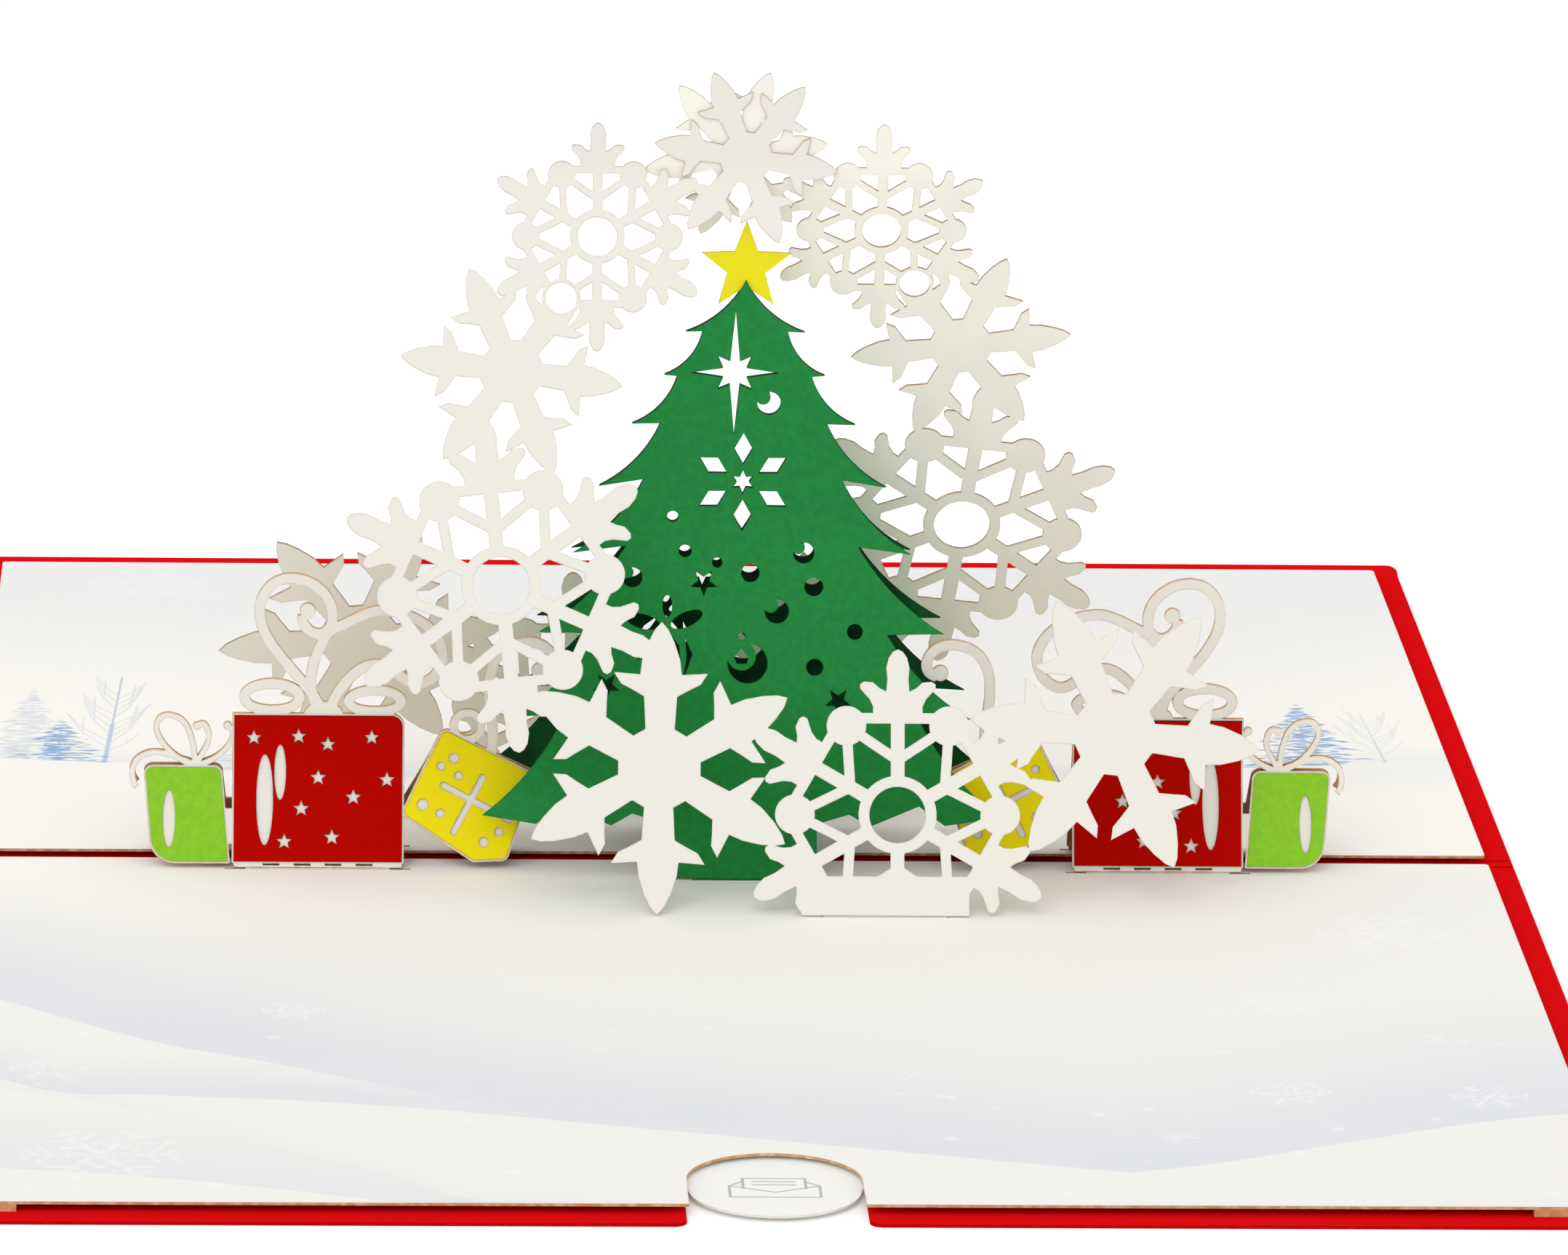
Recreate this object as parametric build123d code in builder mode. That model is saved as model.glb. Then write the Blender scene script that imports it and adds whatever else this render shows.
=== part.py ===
from build123d import *
from math import cos, radians, sin
import os

# Card: a folded cover opened flat, the fold along X, with a page on each half
card_width = 200.0
half_depth = 150.0
cover_thick = 0.4
cover_corner = 1.5
page_thick = 0.35
page_margin = 3.6
page_corner = 0.6
front_page_gap = 4.2
back_page_lap = 0.4
score_width = 0.5
score_depth = 0.12
score_offset = 1.4
strip_thick = 0.85
strip_width = 10.0
strip_bar_width = 6.0
pocket_depth = 104.0
cut_over = 1.0

# Message slip: pulled out of the front pocket by a round thumb tab
slip_thick = 0.3
slip_gap = 0.1
slip_side_gap = 1.0
slip_length = 86.0
slip_corner = 3.0
tab_radius = 10.0
tab_overhang = 1.7
notch_radius = 10.1
cover_notch_radius = 10.4
notch_straight = 9.1
notch_corner = 1.5

# Cut sheets: each stands in slits of a page, leans in and turns upright at the middle
sheet_thick = 0.3
overlay_thick = 0.25
page_clear = 0.1
slit_clear = 0.2
foot_length = 4.0
bend_step = 1.5
overlay_edge = 0.25

# Wreath: seven snowflakes fused into one arch, the same sheet on both sides
wreath_height = 106.5
wreath_base = 29.4
wreath_lean = 18.6
wreath_foot_x = 18.3
wreath_foot_width = 21.0
wreath_foot_height = 5.0
wreath_tab_width = 15.6
joint_hole_radius = 0.5
joint_hole_x = 29.6
joint_hole_height = 22.7
ball_hole_radius = 1.95
ball_hole_rim = 0.45

# Tree: two like sheets glued face to face above, splayed below
tree_middle = 0.9
tree_height = 76.3
tree_half_width = 32.6
tree_base = 13.0
tree_lean = 16.67
tree_tab_width = 12.0
trunk_half_width = 9.6
star_radius = 5.9
star_thick = 0.3
star_height = 77.7

# Gifts: three parcels in a row on each side, on sheets glued back to back at the bows
gift_middle = 0.8
gift_centre = 3.7
gift_base = 5.2
gift_lean = 21.8
red_width = 21.2
red_height = 18.8
red_left = -63.7
gift_lift = 0.8
red_corner = 1.4
green_width = 10.5
green_height = 12.0
green_left = -74.9
green_low_corner = 3.0
green_corner = 0.9
bridge_height = 4.5
gift_tab_inset = 1.5
gift_slit_width = 23.2
dash_width = 2.1
dash_height = 0.25
dash_pitch = 3.9
dash_lift = 0.45
yellow_size = 13.0
yellow_x = -34.3
yellow_lift = 9.3
yellow_corner = 0.8
big_bow_height = 18.0
small_bow_height = 7.0
curl_height = 14.6
bow_band = 1.35
small_band = 0.75

# Heights of the stack
page_bottom = cover_thick + strip_thick
page_top = page_bottom + page_thick
page_half_width = card_width / 2 - page_margin
page_edge = half_depth - page_margin
front_page_depth = page_edge - front_page_gap
back_page_depth = page_edge + back_page_lap

# Snowflake outlines, as shares of an arm: distance along the arm, then across it
spear_side_shares = [
    (0.267, 0.100),
    (0.490, 0.113),
    (0.541, 0.205),
    (0.575, 0.272),
    (0.652, 0.320),
    (0.640, 0.142),
    (0.740, 0.130),
    (0.860, 0.090),
    (0.950, 0.045),
]
star_waist_share = 0.42
ring_outer_share = 0.236
ring_inner_share = 0.170
spoke_share = 0.042
web_root_share = 0.33
web_share = 0.031
ball_place_share = 0.620
ball_share = 0.120
rim_place_share = 0.583
rim_share = 0.032
head_side_shares = [
    (0.560, 0.150),
    (0.655, 0.150),
    (0.700, 0.172),
    (0.762, 0.228),
    (0.790, 0.228),
    (0.805, 0.205),
    (0.800, 0.150),
    (0.764, 0.108),
    (0.745, 0.070),
    (0.820, 0.064),
    (0.890, 0.070),
    (0.950, 0.055),
    (0.985, 0.030),
]

# Flakes of the wreath, as shares of its height: place across, place up, arm length, then the turn
pointed_flake_shares = [
    (0.006, 0.891, 0.1088, 21.3),
    (-0.268, 0.637, 0.1308, 22.6),
    (-0.093, 0.172, 0.1715, -0.8),
    (0.441, 0.215, 0.1710, 24.0),
]
ringed_flake_shares = [
    (-0.168, 0.796, 0.1355, 0.0),
    (-0.279, 0.385, 0.1970, 6.5),
    (0.186, 0.119, 0.1940, 0.0),
]
ball_hole_angle = -120

# Tree outline: tier tips and the notches above them, as shares of half width and height
tier_tip_shares = [
    (0.230, 0.913),
    (0.310, 0.840),
    (0.432, 0.757),
    (0.556, 0.651),
    (0.657, 0.538),
    (0.785, 0.407),
    (0.890, 0.266),
    (1.000, 0.104),
]
tier_notch_shares = [
    (0.165, 0.914),
    (0.260, 0.838),
    (0.322, 0.758),
    (0.383, 0.663),
    (0.450, 0.550),
    (0.563, 0.405),
    (0.680, 0.272),
]
tier_sag_share = 0.010
scallop_shares = [(0.790, 0.090), (0.690, 0.122), (0.500, 0.088), (0.420, 0.108)]
trunk_top_share = 0.092

# Cutouts of the tree, as shares of its height: place across, place up, size
tree_star_shares = (-0.016, 0.844)
tree_star_reach_shares = [0.105, 0.040, 0.074, 0.040]
tree_star_waist_share = 0.021
leaf_flake_shares = (0.000, 0.659)
leaf_root_share = 0.030
leaf_tip_share = 0.083
leaf_half_share = 0.015
leaf_star_share = 0.020
tree_hole_shares = [
    (-0.115, 0.600, 0.0095),
    (-0.094, 0.542, 0.0105),
    (-0.041, 0.523, 0.0085),
    (0.014, 0.506, 0.0150),
    (0.119, 0.484, 0.0155),
    (0.187, 0.410, 0.0130),
    (0.121, 0.351, 0.0140),
]
tree_small_star_shares = [(-0.063, 0.490), (-0.223, 0.318), (0.160, 0.295)]
small_star_share = 0.023
crescent_share = 0.62
tree_crescent_shares = [
    (0.041, 0.793, 0.0195),
    (0.102, 0.540, 0.0175),
    (-0.181, 0.498, 0.0165),
    (0.058, 0.443, 0.0200),
]
tree_bow_shares = (-0.127, 0.425)
tree_bow_loop_shares = [(-0.036, 0.000, 0.028, 0.012, -14), (0.036, 0.004, 0.028, 0.012, 24)]
tree_bow_petal_shares = (0.004, 0.026, 0.008, 0.018, 0)
tree_bow_tail_shares = [
    [(0.004, -0.014), (0.024, -0.040), (0.026, -0.072), (0.014, -0.046)],
    [(-0.004, -0.014), (-0.020, -0.042), (-0.046, -0.066), (-0.030, -0.036)],
    [(0.034, -0.028), (0.046, -0.054), (0.030, -0.098), (0.036, -0.060)],
]
bauble_shares = (0.010, 0.357)
bauble_ring_share = 0.033
bauble_disc_shares = (-0.010, 0.012, 0.024)
bauble_drop_shares = [(-0.010, 0.026), (-0.022, 0.010), (-0.018, -0.001), (-0.002, -0.001), (0.002, 0.010)]
bauble_eye_shares = (-0.010, 0.045, 0.006)

# Cutouts of the gifts, as shares of each parcel's width and height
red_star_shares = [
    (0.117, 0.845),
    (0.383, 0.855),
    (0.557, 0.800),
    (0.817, 0.850),
    (0.500, 0.568),
    (0.909, 0.555),
    (0.709, 0.436),
    (0.400, 0.358),
    (0.300, 0.135),
    (0.583, 0.165),
]
red_star_share = 0.052
red_slot_shares = [(0.183, 0.420, 0.100, 0.620), (0.274, 0.608, 0.070, 0.385)]
green_slot_shares = [(0.290, 0.450, 0.150, 0.610)]
yellow_outline_shares = [(-0.51, 0.48), (0.47, 0.48), (0.62, -0.37), (0.35, -0.53), (-0.47, -0.445)]
yellow_hole_shares = [
    (-0.287, 0.267, 0.052),
    (-0.360, 0.140, 0.042),
    (-0.164, 0.131, 0.042),
    (-0.340, -0.280, 0.058),
    (-0.150, -0.277, 0.045),
    (0.436, -0.170, 0.045),
    (0.353, -0.328, 0.048),
    (0.410, 0.275, 0.042),
]
yellow_slot_shares = [(0.05, -0.073, 0.065, 0.665), (0.11, -0.02, 0.785, 0.065)]
yellow_turn = -27.6

# Ribbon bows, as shares of each bow's height from its knot
tall_loop_shares = [
    (-0.02, 0.05),
    (-0.25, 0.36),
    (-0.40, 0.57),
    (-0.45, 0.78),
    (-0.34, 0.96),
    (-0.16, 0.98),
    (0.00, 0.88),
    (0.04, 0.63),
]
curl_in_shares = [(0.04, 0.64), (-0.05, 0.59), (-0.13, 0.64), (-0.15, 0.72)]
curl_ball_shares = (-0.115, 0.755)
stem_shares = [(0.04, 0.62), (-0.05, 0.44), (-0.09, 0.24), (-0.03, 0.04)]
arch_shares = [
    (0.04, 0.62),
    (0.18, 0.68),
    (0.36, 0.755),
    (0.56, 0.735),
    (0.74, 0.63),
    (0.83, 0.46),
    (0.78, 0.30),
    (0.66, 0.23),
    (0.52, 0.30),
    (0.36, 0.37),
    (0.18, 0.27),
    (0.05, 0.05),
]
low_loop_shares = [(-0.36, 0.13, 0.23, 0.135), (0.36, 0.105, 0.22, 0.115)]
knot_wide_share = 0.14
knot_share = 0.10
ball_band_share = 0.75
bow_place_share = 0.53
small_bow_place_share = 0.60
green_slant_share = 0.10
small_loop_up_shares = [(0.00, 0.00), (-0.08, 0.57), (-0.29, 0.90), (-0.56, 0.95), (-0.70, 0.74)]
small_loop_down_shares = [(-0.56, 0.95), (-0.70, 0.74), (-0.57, 0.42), (-0.30, 0.16), (0.00, 0.02)]
small_curl_shares = [(0.00, 0.04), (0.18, 0.34), (0.24, 0.60), (0.14, 0.80), (0.03, 0.76)]
small_hook_shares = [(0.00, 0.02), (0.33, 0.15), (0.58, 0.37), (0.68, 0.62), (0.58, 0.77)]
small_tail_shares = [
    (0.00, 0.04),
    (-0.33, 0.17),
    (-0.78, 0.26),
    (-1.05, 0.12),
    (-1.13, -0.17),
    (-1.05, -0.37),
]
small_ball_share = 0.075
hook_place_shares = (0.23, 0.42)
hook_shares = [
    (0.00, 0.00),
    (0.00, 0.32),
    (-0.02, 0.66),
    (0.06, 0.88),
    (0.27, 0.99),
    (0.47, 0.94),
    (0.53, 0.80),
    (0.44, 0.71),
]
hook_ball_shares = (0.41, 0.74)
side_loop_place_shares = (0.00, 0.69)
side_loop_share = 0.175
side_loop_hole_share = 0.095

os.makedirs("parts", exist_ok=True)


# Helpers


def leaning_bands(base, meet, lean, middle=0, centre=0):
    """Planes up a sheet that leans from the page to its middle plane in small turns, with each band's ends."""
    turns = (lean, lean * 2 / 3, lean / 3, 0)
    near = base - meet
    straight = (near - bend_step * sum(sin(radians(turn)) for turn in turns[1:3])) / sin(radians(lean))
    y, z, height = -centre - base, page_top, 0
    bands = []
    for turn, length in zip(turns, (straight, bend_step, bend_step, card_width)):
        along_y = sin(radians(turn))
        along_z = cos(radians(turn))
        origin = (middle, y - height * along_y, z - height * along_z)
        plane = Plane(origin=origin, x_dir=(1, 0, 0), z_dir=(0, -along_z, along_y))
        bands.append((plane, height, height + length))
        y += length * along_y
        z += length * along_z
        height += length
    return bands


def raise_sheet(outline, bands, lift=0, thick=sheet_thick):
    """Solid of a sheet cut to its outline, band by band, for the part in hand."""
    top = outline.bounding_box().max.Y
    for plane, low, high in bands:
        if low < top:
            with BuildSketch(plane.offset(lift)) as band:
                add(outline)
                with Locations((0, (low + high) / 2)):
                    Rectangle(card_width, high - low, mode=Mode.INTERSECT)
            extrude(band.sketch, amount=thick)


def add_foot(base, middle, width, outward=False):
    """Tab through the page's slit, with its end folded flat and glued under the page."""
    front = -base - sheet_thick
    near, far = (-base, -base - foot_length) if outward else (front, -base + foot_length)
    low = page_bottom - sheet_thick
    with BuildSketch(Plane.XY.offset(low)) as tab:
        with Locations((middle, (front - base) / 2)):
            Rectangle(width, sheet_thick)
    extrude(tab.sketch, amount=page_top - low + sheet_thick / 2)
    with BuildSketch(Plane.XY.offset(low)) as foot:
        with Locations((middle, (near + far) / 2)):
            Rectangle(width, abs(far - near))
    extrude(foot.sketch, amount=sheet_thick)


def trim_above_page(width):
    """Band of the sheet plane that keeps an outline just clear of the page."""
    with Locations((0, page_clear + width / 2)):
        Rectangle(width, width, mode=Mode.INTERSECT)


def star_outline(points, reach, waist, turn=90):
    """Pointed star with its tips at reach and its inner corners at waist."""
    corners = []
    for k in range(points):
        tip = radians(turn + k * 360 / points)
        inner = tip + radians(180 / points)
        corners.append((reach * cos(tip), reach * sin(tip)))
        corners.append((waist * cos(inner), waist * sin(inner)))
    with BuildSketch() as star:
        Polygon(*corners, align=None)
    return star.sketch


def scaled(shares, size):
    """Points given as shares of one size."""
    return [(x * size, y * size) for x, y in shares]


def ribbon(shares, size, band):
    """Band of even width along a smooth line through points given as shares of a size."""
    with BuildSketch() as strip:
        with BuildLine():
            Spline(*scaled(shares, size))
        trace(line_width=band)
    return strip.sketch


def pointed_flake(arm):
    """Six spear-headed arms with a barb on each side."""
    corners = []
    for k in range(6):
        axis = radians(90 + 60 * k)
        right = [(along, -across) for along, across in spear_side_shares]
        left = [(along, across) for along, across in reversed(spear_side_shares)]
        for along, across in right + [(1, 0)] + left:
            x = arm * (along * cos(axis) - across * sin(axis))
            y = arm * (along * sin(axis) + across * cos(axis))
            corners.append((x, y))
    with BuildSketch() as flake:
        Polygon(*corners, align=None)
    return flake.sketch


def ringed_flake(arm):
    """Ring, spokes and webs inside a six-sided rim with balls, and a three-pronged head on each arm."""
    ball_along = ball_place_share * cos(radians(30))
    ball_across = ball_place_share * sin(radians(30))
    right = [(along, -across) for along, across in head_side_shares]
    left = [(along, across) for along, across in reversed(head_side_shares)]
    head = scaled(right + [(1, 0)] + left, arm)
    run_along = ball_along - web_root_share
    run = (run_along**2 + ball_across**2) ** 0.5
    over_x = web_share * ball_across / run
    over_y = web_share * run_along / run
    web_corners = [
        (web_root_share - over_x, over_y),
        (ball_along - over_x, ball_across + over_y),
        (ball_along + over_x, ball_across - over_y),
        (web_root_share + over_x, -over_y),
    ]
    with BuildSketch() as flake:
        Circle(arm * ring_outer_share)
        with PolarLocations(0, 6, start_angle=90):
            Polygon(*head, align=None)
            with Locations((arm * (ring_inner_share + rim_place_share) / 2, 0)):
                Rectangle(arm * (rim_place_share - ring_inner_share), arm * 2 * spoke_share)
            with Locations((arm * rim_place_share, 0)):
                Rectangle(arm * 2 * rim_share, arm * 2 * ball_across)
            with Locations((arm * ball_along, arm * ball_across)):
                Circle(arm * ball_share)
            for side in (1, -1):
                Polygon(*scaled([(x, side * y) for x, y in web_corners], arm), align=None)
        Circle(arm * ring_inner_share, mode=Mode.SUBTRACT)
    return flake.sketch


# Card cover

with BuildPart() as cover:
    with BuildSketch():
        RectangleRounded(card_width, 2 * half_depth, cover_corner)
        notch_y = -page_edge + notch_straight
        with Locations((0, notch_y)):
            Circle(cover_notch_radius, mode=Mode.SUBTRACT)
        with Locations((0, (notch_y - half_depth - cut_over) / 2)):
            Rectangle(2 * cover_notch_radius, half_depth + cut_over + notch_y, mode=Mode.SUBTRACT)
        lips = [v for v in vertices() if abs(v.X) < 2 * cover_notch_radius and v.Y < -page_edge]
        fillet(lips, notch_corner)
    extrude(amount=cover_thick)
    with BuildSketch(Plane.XY.offset(cover_thick)):
        with Locations((0, score_offset), (0, -score_offset)):
            Rectangle(card_width, score_width)
    extrude(amount=-score_depth, mode=Mode.SUBTRACT)
cover.part.label = "cover"
export_step(cover.part, "parts/cover.step")


# Pages, each with the slits that hold the cut sheets

wreath_slit = (wreath_foot_x, wreath_base, wreath_tab_width)
tree_slit = (tree_middle, tree_base, tree_tab_width)
gift_tab_width = red_width - 2 * gift_tab_inset
red_middle = red_left + red_width / 2
gift_slit_places = [gift_middle + side * red_middle for side in (1, -1)]
front_gift_slits = [(x, gift_base + gift_centre, gift_slit_width) for x in gift_slit_places]
back_gift_slits = [(x, gift_base - gift_centre, gift_slit_width) for x in gift_slit_places]
slit_width = sheet_thick + slit_clear


def cut_slits(slits, turned):
    """Slits through the page in hand, for the tabs of the sheets on its half."""
    for x, base, width in slits:
        with Locations((x, turned * (base + sheet_thick / 2))):
            Rectangle(width + slit_clear, slit_width, mode=Mode.SUBTRACT)


with BuildPart() as front_page:
    with BuildSketch(Plane.XY.offset(page_bottom)):
        with Locations((0, -front_page_gap - front_page_depth / 2)):
            RectangleRounded(2 * page_half_width, front_page_depth, page_corner)
        with Locations((0, notch_y)):
            Circle(notch_radius, mode=Mode.SUBTRACT)
        with Locations((0, (notch_y - page_edge - cut_over) / 2)):
            Rectangle(2 * notch_radius, page_edge + cut_over + notch_y, mode=Mode.SUBTRACT)
        cut_slits([wreath_slit, tree_slit] + front_gift_slits, -1)
    extrude(amount=page_thick)
front_page.part.label = "front_page"
export_step(front_page.part, "parts/front_page.step")

with BuildPart() as back_page:
    with BuildSketch(Plane.XY.offset(page_bottom)):
        with Locations((0, back_page_depth / 2 - back_page_lap)):
            RectangleRounded(2 * page_half_width, back_page_depth, page_corner)
        back_wreath_slit = (-wreath_foot_x, wreath_base, wreath_tab_width)
        cut_slits([back_wreath_slit, tree_slit] + back_gift_slits, 1)
    extrude(amount=page_thick)
back_page.part.label = "back_page"
export_step(back_page.part, "parts/back_page.step")


# Strips of card that hold each page off the cover, three sides of a frame

pocket_back = -page_edge + pocket_depth

with BuildPart() as front_strips:
    with BuildSketch(Plane.XY.offset(cover_thick)):
        with Locations((0, (pocket_back - page_edge) / 2)):
            Rectangle(2 * page_half_width, pocket_depth)
        with Locations((0, (pocket_back - strip_bar_width - page_edge) / 2 - cut_over)):
            inner_depth = pocket_depth - strip_bar_width + 2 * cut_over
            Rectangle(2 * (page_half_width - strip_width), inner_depth, mode=Mode.SUBTRACT)
    extrude(amount=strip_thick)
front_strips.part.label = "pocket_strips"
export_step(front_strips.part, "parts/pocket_strips.step")

with BuildPart() as back_strips:
    with BuildSketch(Plane.XY.offset(cover_thick)):
        with Locations((0, page_edge - pocket_depth / 2)):
            Rectangle(2 * page_half_width, pocket_depth)
            Rectangle(2 * (page_half_width - strip_width), pocket_depth - 2 * strip_bar_width, mode=Mode.SUBTRACT)
    extrude(amount=strip_thick)
back_strips.part.label = "back_page_strips"
export_step(back_strips.part, "parts/back_page_strips.step")


# Message slip with its round thumb tab

slip_half_width = page_half_width - strip_width - slip_side_gap
tab_y = -half_depth + tab_overhang + tab_radius

with BuildPart() as slip:
    with BuildSketch(Plane.XY.offset(cover_thick + slip_gap)):
        with Locations((0, tab_y + slip_length / 2)):
            RectangleRounded(2 * slip_half_width, slip_length, slip_corner)
        with Locations((0, tab_y)):
            Circle(tab_radius)
    extrude(amount=slip_thick)
slip.part.label = "message_slip"
export_step(slip.part, "parts/message_slip.step")


# Wreath sheets

with BuildSketch() as wreath_outline:
    for x, y, arm, turn in pointed_flake_shares:
        with Locations((wreath_height * x, wreath_height * y)):
            add(pointed_flake(wreath_height * arm), rotation=turn)
    for x, y, arm, turn in ringed_flake_shares:
        with Locations((wreath_height * x, wreath_height * y)):
            add(ringed_flake(wreath_height * arm), rotation=turn)
    with Locations((wreath_foot_x, wreath_foot_height / 2)):
        Rectangle(wreath_foot_width, wreath_foot_height)
    trim_above_page(card_width)
    with Locations((joint_hole_x, joint_hole_height)):
        Circle(joint_hole_radius, mode=Mode.SUBTRACT)
    small_x, small_y, small_arm = ringed_flake_shares[0][:3]
    with Locations((wreath_height * small_x, wreath_height * small_y)):
        with PolarLocations(wreath_height * small_arm * ball_place_share, 1, start_angle=ball_hole_angle):
            Circle(ball_hole_radius + ball_hole_rim)
            Circle(ball_hole_radius, mode=Mode.SUBTRACT)

with BuildPart() as wreath_front:
    raise_sheet(wreath_outline.sketch, leaning_bands(wreath_base, 0, wreath_lean))
    add_foot(wreath_base, wreath_foot_x, wreath_tab_width)
wreath_front.part.label = "wreath_front"
export_step(wreath_front.part, "parts/wreath_front.step")

with BuildPart() as wreath_back:
    add(wreath_front.part, rotation=(0, 0, 180))
wreath_back.part.label = "wreath_back"
export_step(wreath_back.part, "parts/wreath_back.step")


# Tree sheets

with BuildSketch() as tree_outline:
    with BuildLine() as tree_line:
        for side in (1, -1):
            half = side * tree_half_width
            last = (0, tree_height)
            for k, (tip_x, tip_y) in enumerate(tier_tip_shares):
                tip = (half * tip_x, tree_height * tip_y)
                sag_x = (last[0] + tip[0]) / 2 - half * 2 * tier_sag_share
                sag_y = (last[1] + tip[1]) / 2 - tree_height * tier_sag_share
                ThreePointArc(last, (sag_x, sag_y), tip)
                last = tip
                if k < len(tier_notch_shares):
                    notch_x, notch_height = tier_notch_shares[k]
                    last = (half * notch_x, tree_height * notch_height)
                    Line(tip, last)
            low = [(half * x, tree_height * y) for x, y in scallop_shares]
            foot = side * trunk_half_width
            Polyline(last, *low, (foot, tree_height * trunk_top_share), (foot, 0), (0, 0))
    make_face()
    trim_above_page(card_width)
    with Locations(tuple(tree_height * share for share in tree_star_shares)):
        corners = []
        for k in range(8):
            reach = tree_height * tree_star_reach_shares[k % 4]
            tip = radians(90 + 45 * k)
            waist = tip + radians(22.5)
            corners.append((reach * cos(tip), reach * sin(tip)))
            inner = tree_height * tree_star_waist_share
            corners.append((inner * cos(waist), inner * sin(waist)))
        Polygon(*corners, align=None, mode=Mode.SUBTRACT)
    with Locations(tuple(tree_height * share for share in leaf_flake_shares)):
        add(star_outline(6, tree_height * leaf_star_share, tree_height * leaf_star_share / 2), mode=Mode.SUBTRACT)
        root = tree_height * leaf_root_share
        tip = tree_height * leaf_tip_share
        half = tree_height * leaf_half_share
        middle = (root + tip) / 2
        with PolarLocations(0, 6, start_angle=90):
            leaf = [(root, 0), (middle, half), (tip, 0), (middle, -half)]
            Polygon(*leaf, align=None, mode=Mode.SUBTRACT)
    for x, y, size in tree_hole_shares:
        with Locations((tree_height * x, tree_height * y)):
            Circle(tree_height * size, mode=Mode.SUBTRACT)
    for x, y in tree_small_star_shares:
        with Locations((tree_height * x, tree_height * y)):
            reach = tree_height * small_star_share
            add(star_outline(5, reach, reach * star_waist_share, turn=-90), mode=Mode.SUBTRACT)
    for x, y, size in tree_crescent_shares:
        with Locations((tree_height * x, tree_height * y)):
            radius = tree_height * size
            with BuildSketch(mode=Mode.PRIVATE) as crescent:
                Circle(radius)
                with Locations((-radius / 2, radius / 2)):
                    Circle(radius * crescent_share, mode=Mode.SUBTRACT)
            add(crescent.sketch, mode=Mode.SUBTRACT)
    with Locations(tuple(tree_height * share for share in tree_bow_shares)):
        for x, y, along, across, turn in tree_bow_loop_shares + [tree_bow_petal_shares]:
            with Locations(Location((tree_height * x, tree_height * y), turn)):
                Ellipse(tree_height * along, tree_height * across, mode=Mode.SUBTRACT)
        for tail in tree_bow_tail_shares:
            Polygon(*scaled(tail, tree_height), align=None, mode=Mode.SUBTRACT)
    with Locations(tuple(tree_height * share for share in bauble_shares)):
        with BuildSketch(mode=Mode.PRIVATE) as bauble:
            Circle(tree_height * bauble_ring_share)
            disc_x, disc_y, disc_radius = (tree_height * share for share in bauble_disc_shares)
            with Locations((disc_x, disc_y)):
                Circle(disc_radius, mode=Mode.SUBTRACT)
            Polygon(*scaled(bauble_drop_shares, tree_height), align=None)
            eye_x, eye_y, eye_radius = (tree_height * share for share in bauble_eye_shares)
            with Locations((eye_x, eye_y)):
                Circle(eye_radius)
        add(bauble.sketch, mode=Mode.SUBTRACT)

with BuildPart() as tree_front:
    raise_sheet(tree_outline.sketch, leaning_bands(tree_base, star_thick / 2, tree_lean, tree_middle))
    add_foot(tree_base, tree_middle, tree_tab_width)
tree_front.part.label = "tree_front"
export_step(tree_front.part, "parts/tree_front.step")

with BuildPart() as tree_back:
    mirror(tree_front.part, about=Plane.XZ)
tree_back.part.label = "tree_back"
export_step(tree_back.part, "parts/tree_back.step")

star_plane = Plane(origin=(tree_middle, star_thick / 2, 0), x_dir=(1, 0, 0), z_dir=(0, -1, 0))

with BuildPart() as tree_star:
    with BuildSketch(star_plane):
        with Locations((0, star_height)):
            add(star_outline(5, star_radius, star_radius * star_waist_share))
    extrude(amount=star_thick)
tree_star.part.label = "tree_star"
export_step(tree_star.part, "parts/tree_star.step")


# Gifts: outlines of the three parcels of the left group, the right group being their mirror image

red_bottom = gift_lift
green_right = green_left + green_width
bow_place = (red_left + red_width * bow_place_share, red_bottom + red_height)
small_bow_place = (green_left + green_width * small_bow_place_share, gift_lift + green_height)


def red_outline():
    """Tall red parcel with one rounded corner."""
    with BuildSketch() as parcel:
        with Locations((red_left, red_bottom)):
            Rectangle(red_width, red_height, align=(Align.MIN, Align.MIN))
        fillet(parcel.vertices().sort_by(Axis.X)[-2:].sort_by(Axis.Y)[-1:], red_corner)
    return parcel.sketch


def green_outline():
    """Small green parcel, wider at its top, with one well rounded low corner."""
    slant = green_width * green_slant_share
    with BuildSketch() as parcel:
        with BuildLine():
            top = gift_lift + green_height
            left_low = (green_left + slant, gift_lift)
            Polyline((green_left, top), (green_right - slant, top), (green_right, gift_lift), left_low, close=True)
        make_face()
        corners = parcel.vertices().sort_by(Axis.Y)
        low = corners[:2].sort_by(Axis.X)
        fillet(low[0], green_low_corner)
        fillet([v for v in parcel.vertices() if v.Y > gift_lift + green_low_corner], green_corner)
    return parcel.sketch


def yellow_outline():
    """Yellow parcel, tipped over on one corner that is cut off flat."""
    with BuildSketch() as parcel:
        with Locations(Location((yellow_x, yellow_lift), yellow_turn)):
            Polygon(*scaled(yellow_outline_shares, yellow_size), align=None)
        fillet(parcel.vertices(), yellow_corner)
    return parcel.sketch


def red_overlay():
    """Red paper with its stars and two slim slots."""
    with BuildSketch() as paper:
        add(red_outline())
        for x, y in red_star_shares:
            with Locations((red_left + red_width * x, red_bottom + red_height * y)):
                reach = red_width * red_star_share
                add(star_outline(5, reach, reach * star_waist_share), mode=Mode.SUBTRACT)
        for x, y, wide, tall in red_slot_shares:
            with Locations((red_left + red_width * x, red_bottom + red_height * y)):
                Ellipse(red_width * wide / 2, red_height * tall / 2, mode=Mode.SUBTRACT)
    return paper.sketch


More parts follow.
